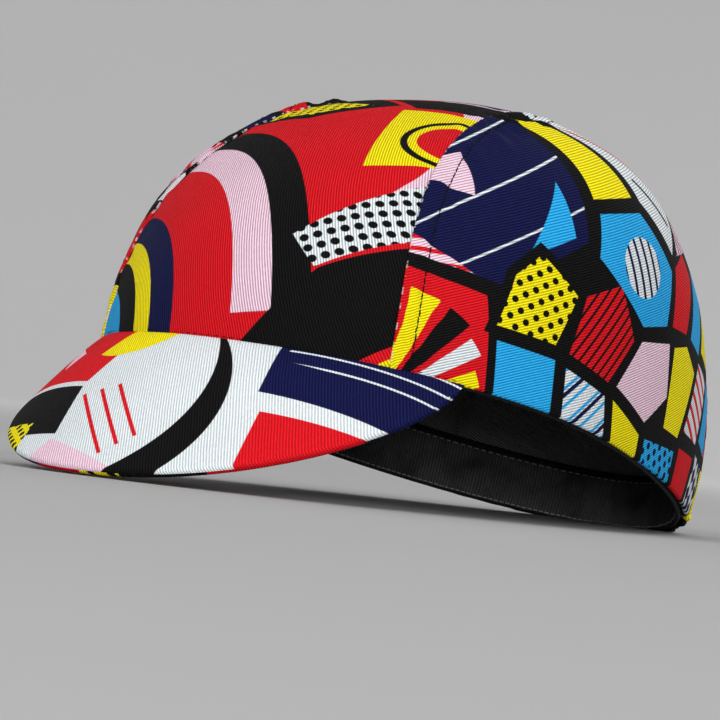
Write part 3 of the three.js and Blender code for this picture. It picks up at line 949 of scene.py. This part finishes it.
SIDE_PRINT = [
    ("cell", [(-12, -8), (28, -8), (20, 26), (-12, 30)], "red"),
    *[("wedge", [-3, -12, radius, start, end], ink) for radius, start, end, ink in SEAM_FAN],
    ("cell", [(24, 30), (-12, 34), (-12, 62), (48, 110), (48, 50)], "navy",
     ("stripes", "white", 128, 13, 0.55)),
    ("cell", [(-12, 46), (-12, 34), (16, 31)], "pink", ("stripes", "red", 96, 3.6, 1.3)),
    ("cell", [(4, 62), (20, 55), (25, 72)], "pink"),
    ("cell", [(30, 40), (44, 50), (42, 66)], "sky"),
    ("cell", [(-12, 56), (4, 66), (-12, 60)], "white"),
    ("cell", [(30, -8), (47, -8), (43, 15), (25, 15)], "sky", ("outline", "black", 2.4)),
    ("cell", [(24, 19), (42, 19), (46, 34), (34, 42), (27, 34)], "yellow",
     ("outline", "black", 2.6), ("dots", "black", 38, 3.4, 0.95)),
    ("cell", [(51, -8), (70, -8), (63, 11), (47, 14)], "white",
     ("stripes", "navy", -38, 7.8, 1.2), ("stripes", "sky", -38, 3.9, 0.9)),
    ("cell", [(47, 18), (63, 15), (70, 29), (61, 42), (49, 35)], "red",
     ("stripes", "black", 152, 2.5, 0.75)),
    ("cell", [(74, -8), (88, -8), (85, 6), (67, 11)], "yellow"),
    ("cell", [(67, 15), (86, 10), (96, 20), (90, 34), (74, 30)], "pink"),
    ("cell", [(52, 47), (73, 34), (86, 38), (86, 54), (70, 66), (53, 60)], "sky"),
    ("disc", [70, 50, 8.5], "white", ("stripes", "navy", 25, 3.4, 1.1)),
    ("cell", [(52, 64), (68, 70), (61, 94), (51, 98)], "yellow"),
    ("cell", [(72, 70), (87, 59), (96, 82), (86, 110), (58, 110)], "white"),
    ("bar", [66, 96, 92, 78, 2.4], "red"),
    ("bar", [74, 78, 88, 68, 1.4], "black"),
    ("cell", [(90, 39), (102, 40), (106, 58), (98, 63), (89, 56)], "red"),
    ("cell", [(92, -8), (115, -8), (111, 8), (89, 6)], "sky", ("dots", "navy", 38, 3.4, 1.0)),
    ("cell", [(99, 12), (111, 12), (115, 32), (104, 37), (94, 34)], "yellow"),
    ("cell", [(107, 40), (118, 38), (123, 60), (110, 61)], "sky"),
    ("cell", [(91, 60), (104, 65), (114, 88), (100, 106)], "pink", ("stripes", "black", 20, 3.2, 0.8)),
    ("cell", [(119, -8), (136, -8), (133, 11), (115, 10)], "red"),
    ("cell", [(115, 15), (132, 15), (135, 34), (119, 36)], "white", ("stripes", "red", 70, 4, 1.6)),
    ("cell", [(122, 40), (137, 38), (141, 62), (127, 64)], "yellow"),
    ("cell", [(108, 65), (124, 66), (136, 90), (117, 98)], "red"),
    ("cell", [(128, 68), (141, 66), (152, 92), (140, 92)], "navy"),
    ("cell", [(140, -8), (158, -8), (155, 12), (137, 13)], "white", ("checks", "navy", 30, 4)),
    ("cell", [(137, 17), (155, 16), (157, 36), (139, 36)], "sky"),
    ("cell", [(141, 40), (158, 40), (160, 68), (145, 68)], "pink", ("stripes", "red", 40, 3.4, 0.9)),
    ("cell", [(162, -8), (184, -8), (184, 16), (159, 13)], "yellow"),
    ("cell", [(159, 17), (184, 20), (184, 40), (161, 38)], "red"),
    ("cell", [(162, 42), (184, 44), (184, 72), (164, 70)], "white"),
]
PEAK_PRINT = [
    ("cell", [(-80, -40), (-8, -40), (-22, 22), (-80, 12)], "red"),
    ("cell", [(-80, 14), (-22, 24), (-16, 44), (-80, 40)], "black"),
    ("cell", [(-80, 30), (-30, 38), (-20, 80), (-80, 80)], "yellow", ("dots", "black", 38, 3.2, 0.95)),
    ("cell", [(-16, 46), (10, 54), (30, 80), (-30, 80)], "pink"),
    ("cell", [(16, -40), (80, -40), (80, 4), (30, 16)], "navy"),
    ("cell", [(29, -40), (80, -40), (80, -8), (28, 3)], "navy", ("stripes", "white", 72, 5.2, 0.7)),
    ("cell", [(34, 22), (80, 8), (80, 80), (46, 80)], "red"),
    ("crescent", [-18, 34, 44, -26, 28, 44], "black"),
    ("wedge", [-20, -6, 17, 20, 118], "yellow"),
    ("cell", [(-52, -6), (-40, 4), (-44, 10)], "pink"),
    ("bar", [-18, 28, 4, 50, 1.1], "red"),
    ("bar", [-13, 26, 7, 46, 1.1], "red"),
    ("bar", [-8, 24, 10, 42, 1.1], "red"),
]
UNDER_PRINT = [
    ("cell", [(-80, -40), (-34, -40), (-30, 80), (-80, 80)], "pink"),
    ("cell", [(-32, -40), (-20, -40), (-14, 80), (-30, 80)], "navy"),
    ("cell", [(-4, -40), (16, -40), (12, 80), (2, 80)], "yellow", ("stripes", "black", 30, 5, 1.8)),
    ("cell", [(16, -40), (30, -40), (34, 80), (12, 80)], "black"),
    ("cell", [(58, -40), (80, -40), (80, 80), (54, 80)], "navy"),
]


def twill(sh, p, rib_heading):
    """Height of fine rounded ribs, and of the threads that cross them, each between 0 and 1."""
    wander = 0.9 * sh.noise(p, 0.06, 1.0)
    rib = 0.5 + 0.5 * sh.math("SINE", (across_at(sh, p, rib_heading, RIB_PITCH) + wander) * (2 * math.pi))
    turn = {"Vector": p, "Rotation": (0, 0, -math.radians(rib_heading))}
    turned = sh.node("ShaderNodeMapping", {}, turn).outputs[0]
    thread = sh.noise(turned, 1.0, 1.0, (2.2, 0.8, 0))
    return rib, thread


def printed_twill(name, ground, table, rib_heading, grooves, shift=0):
    """Printed cloth: the ink darker in the grooves by painted shade, a painted highlight of pale fibres on
    the ribs, and bare yarn along the folds.
    """
    sh = Shader(name)
    p = sh.cut_place(shift)
    rib, thread = twill(sh, p, rib_heading)
    patchy = sh.noise(p, 0.04, 1.0)
    # Painted shade: the ink darker in the grooves between the ribs, with random tone from the threads and in
    # patches
    shade = ((1 - grooves) + grooves * rib) * (0.84 + 0.3 * thread) * (0.93 + 0.14 * patchy)
    ink = sh.vector("MULTIPLY", printed(sh, p, ground, table), shade)
    # Painted highlight: pale light of the fibres on the tops of the ribs
    ink = sh.vector("ADD", ink, FIBRE_HIGHLIGHT * rib * thread)
    fold = sh.node("ShaderNodeAttribute", {"attribute_name": "fold"}).outputs["Fac"]
    worn = sh.math("MULTIPLY_ADD", sh.noise(p, 0.6, 1.0) - 0.52, 9, 0, clamp=True)
    ink = sh.mix(worn * Value(sh, fold) * 0.7, ink, BARE_YARN)
    return sh.finish_matt(ink, 0.7 + 0.16 * thread, 0.06, 0.7 * rib + 0.45 * thread, 0.7, 0.28 * MM)


def dark_lining():
    """Inside of the crown: black twill with fine diagonal ribs."""
    sh = Shader("black_inside_twill")
    rib, thread = twill(sh, sh.cut_place(), LINING_RIBS)
    # Painted highlight on the ribs and painted shade in the grooves of the black lining
    tone = sh.mix(0.7 * rib + 0.4 * thread, LINING_GROOVE_SHADE, LINING_RIB_HIGHLIGHT)
    return sh.finish_matt(tone, 0.7 + 0.14 * thread, 0.25, 0.8 * rib + 0.4 * thread, 0.6, 0.22 * MM)


def band_knit():
    """Black knit with upright ribs, with painted highlight on the ribs and painted shade in the grooves,
    patches of painted sheen where it is seen, and painted shade over its folds, its outer face and above the
    upper stitches.
    """
    sh = Shader("black_ribbed_knit")
    p = sh.cut_place()
    wale = 0.5 + 0.5 * sh.math("SINE", across_at(sh, p, 0, WALE_PITCH) * (2 * math.pi))
    row = 0.5 + 0.5 * sh.math("SINE", across_at(sh, p, 90, ROW_PITCH) * (2 * math.pi))
    fuzz = sh.noise(p, 1.4, 2.0)
    # Painted sheen: soft patches where the knit is lighter, as if catching the light
    patchy = sh.math("MULTIPLY_ADD", sh.noise(p, 0.09, 2.0), 2.6, -0.55, clamp=True)
    # Painted highlight on the ribs and painted shade in the grooves, lighter where the painted sheen falls
    tone = sh.mix((0.5 * wale + 0.6 * fuzz) * (0.1 + 1.05 * patchy), KNIT_GROOVE_SHADE, KNIT_RIB_HIGHLIGHT)
    up = sh.vector("DOT_PRODUCT", p, (0, 1, 0), output=1)
    # Painted shade over the band's rolled top above the upper stitches, over its lower roll and over its
    # outer face
    shade_from = INSIDE_RUN_FROM + (BAND_HEIGHT - BAND_STITCH_AT) / MM + 0.2
    seen = sh.edge(shade_from - up, 0.8) * sh.edge(up - INSIDE_RUN_FROM + 5)
    tone = sh.mix(seen, KNIT_FOLD_SHADE, tone)
    height = 0.8 * wale + 0.35 * row * wale + 0.25 * fuzz
    return sh.finish_matt(tone, 0.6 + 0.2 * fuzz, 0.2, height, 0.7, 0.3 * MM)


def thread_material(name, tone):
    """Sewing thread, darker and paler along its plies."""
    sh = Shader(name)
    ply = sh.noise(sh.node("ShaderNodeTexCoord").outputs["Object"], 2600, 2.0)
    darker, paler = ([min(part * share, 1) for part in tone] + [1] for share in (0.7, 1.25))
    return sh.finish_matt(sh.mix(ply, darker, paler), 0.6 + 0.2 * ply, 0.1, ply, 0.4, 0.08 * MM)


def paper_bowl():
    """The studio's paper, drawn from the rim of its wall down to the flat floor."""
    bpy.ops.object.select_all(action="DESELECT")
    bpy.ops.mesh.primitive_circle_add(vertices=160, radius=FLOOR_RADIUS + BEND, fill_type="NOTHING")
    floor = bpy.context.object
    floor.name = "studio_floor"
    bpy.ops.object.mode_set(mode="EDIT")
    bpy.ops.mesh.select_mode(type="EDGE")
    bpy.ops.mesh.select_all(action="SELECT")
    bpy.ops.transform.translate(value=(0, 0, BEND))
    for k in range(BEND_STEPS, 0, -1):
        high, low = (math.pi / 2 * s / BEND_STEPS for s in (k, k - 1))
        ratio = (FLOOR_RADIUS + BEND * math.sin(low)) / (FLOOR_RADIUS + BEND * math.sin(high))
        drop = BEND * (math.cos(high) - math.cos(low))
        bpy.ops.mesh.extrude_region_move(TRANSFORM_OT_translate={"value": (0, 0, drop)})
        bpy.ops.transform.resize(value=(ratio, ratio, 1), center_override=(0, 0, 0))
    bpy.ops.mesh.edge_face_add()
    bpy.ops.object.mode_set(mode="OBJECT")
    in_edit_mode(floor, ("normals_make_consistent", {"inside": False}))
    if floor.data.polygons[-1].normal.z < 0:
        in_edit_mode(floor, ("flip_normals", {}))
    bpy.ops.object.shade_smooth()
    return floor


def pale_paper():
    """Grey paper, a little uneven, which glows more the farther out it is."""
    sh = Shader("pale_studio_paper")
    place = sh.node("ShaderNodeTexCoord").outputs["Object"]
    limits = {0: sh.vector("LENGTH", place, output=1), 1: GLOW_FROM, 2: GLOW_FULL}
    far = sh.node("ShaderNodeMapRange", {"interpolation_type": "SMOOTHSTEP"}, limits).outputs[0]
    tone = sh.vector("MULTIPLY", PAPER_TONE, 0.985 + 0.03 * sh.noise(place, 3, 1.0))
    surface = {"Base Color": tone, "Roughness": 0.85, "Specular IOR Level": 0.1}
    surface["Emission Color"] = sh.mix(far, (0, 0, 0, 1), PAPER_GLOW)
    return sh.finish({**surface, "Emission Strength": 1.0})


def studio():
    """A pale floor that curves up all round into a wall, and soft lamps on every side."""
    floor = paper_bowl()
    floor.data.materials.append(pale_paper())
    for name, at, size, power in LAMPS:
        lamp = bpy.data.lights.new(name, "AREA")
        lamp.energy, lamp.size = power, size
        light = bpy.data.objects.new(name, lamp)
        light.location = at
        light.rotation_euler = (Vector(LAMPS_AIM) - Vector(at)).to_track_quat("-Z", "Y").to_euler()
        bpy.context.collection.objects.link(light)


def camera():
    """Sets the camera at its angle to the cap, at its distance and turned about its own axis."""
    az, el, ro = CAMERA_AZIMUTH, CAMERA_ELEVATION, CAMERA_ROLL
    back = Vector((math.sin(az) * math.cos(el), -math.cos(az) * math.cos(el), math.sin(el)))
    level = Vector((math.cos(az), math.sin(az), 0))
    upright = back.cross(level)
    right = math.cos(ro) * level + math.sin(ro) * upright
    up = math.cos(ro) * upright - math.sin(ro) * level
    place = CAMERA_DISTANCE * back + CAMERA_RIGHT * right + CAMERA_UP * up
    turn = CAP_TURN @ Matrix((right, up, back)).transposed()
    lens = bpy.data.cameras.new("camera")
    lens.sensor_width = SENSOR_MM
    lens.lens = FOCAL_PIXELS / PICTURE_PIXELS * SENSOR_MM
    lens.clip_start, lens.clip_end = 0.01, 50
    view = bpy.data.objects.new("camera", lens)
    view.matrix_world = Matrix.Translation(CAP_TURN @ place + CAP_ORIGIN) @ turn.to_4x4()
    bpy.context.collection.objects.link(view)
    bpy.context.scene.camera = view


def fit(piece, node=None):
    """Hangs a piece on the cap's only body and in place of the plain node if it has one."""
    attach(piece, "root")
    if node:
        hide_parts(node)


camera()
studio()
bpy.context.scene.view_settings.view_transform = "Standard"

lining = dark_lining()
middle_cloth = printed_twill("middle_print_twill", "red", MIDDLE_PRINT, MIDDLE_RIBS, CROWN_GROOVE_SHADE)
side_print = ("black", SIDE_PRINT, SIDE_RIBS, CROWN_GROOVE_SHADE)
left_cloth = printed_twill("left_print_twill", *side_print)
right_cloth = printed_twill("right_print_twill", *side_print, RIGHT_SHIFT)
peak_cloth = printed_twill("peak_print_twill", "white", PEAK_PRINT, PEAK_RIBS, PEAK_GROOVE_SHADE)
under_cloth = printed_twill("peak_under_print_twill", "red", UNDER_PRINT, PEAK_RIBS, PEAK_GROOVE_SHADE)
fit(middle_panel(middle_cloth, lining), "crown_middle_panel")
left_panel, left_line = side_panel("left_panel_cloth", 1, left_cloth, lining)
right_panel, right_line = side_panel("right_panel_cloth", -1, right_cloth, lining)
fit(left_panel, "crown_left_panel")
fit(right_panel, "crown_right_panel")
fit(peak_cover("peak_top_cloth", True, peak_cloth), "peak_top_cover")
fit(peak_cover("peak_under_cloth", False, under_cloth), "peak_under_cover")
fit(sweatband(band_knit()), "sweatband")

black_thread = thread_material("black_thread", BLACK_THREAD)
grey_thread = thread_material("grey_thread", GREY_THREAD)
# One stitch of each kind, by its length and width
long_stitch = stitch_shape(0.98 * TOPSTITCH_PITCH, 0.4 * MM)
brow_stitch = stitch_shape(1.4 * MM, 0.17 * MM)
short_stitch = stitch_shape(1.3 * MM, 0.3 * MM)
fit(sewn_line("left_topstitching", long_stitch, topstitching(*left_line), black_thread))
fit(sewn_line("right_topstitching", long_stitch, topstitching(*right_line), black_thread))
fit(sewn_line("brow_hem_stitching", brow_stitch, hem_stitching(), black_thread))
upper_stitches = band_stitching(BAND_HEIGHT - BAND_STITCH_AT, UPPER_PITCH)
lower_stitches = band_stitching(-BAND_LOWER_STITCH_AT, LOWER_PITCH)
fit(sewn_line("band_upper_stitching", short_stitch, upper_stitches, grey_thread))
fit(sewn_line("band_lower_stitching", short_stitch, lower_stitches, grey_thread))
for pattern in (long_stitch, brow_stitch, short_stitch):
    bpy.data.objects.remove(pattern)
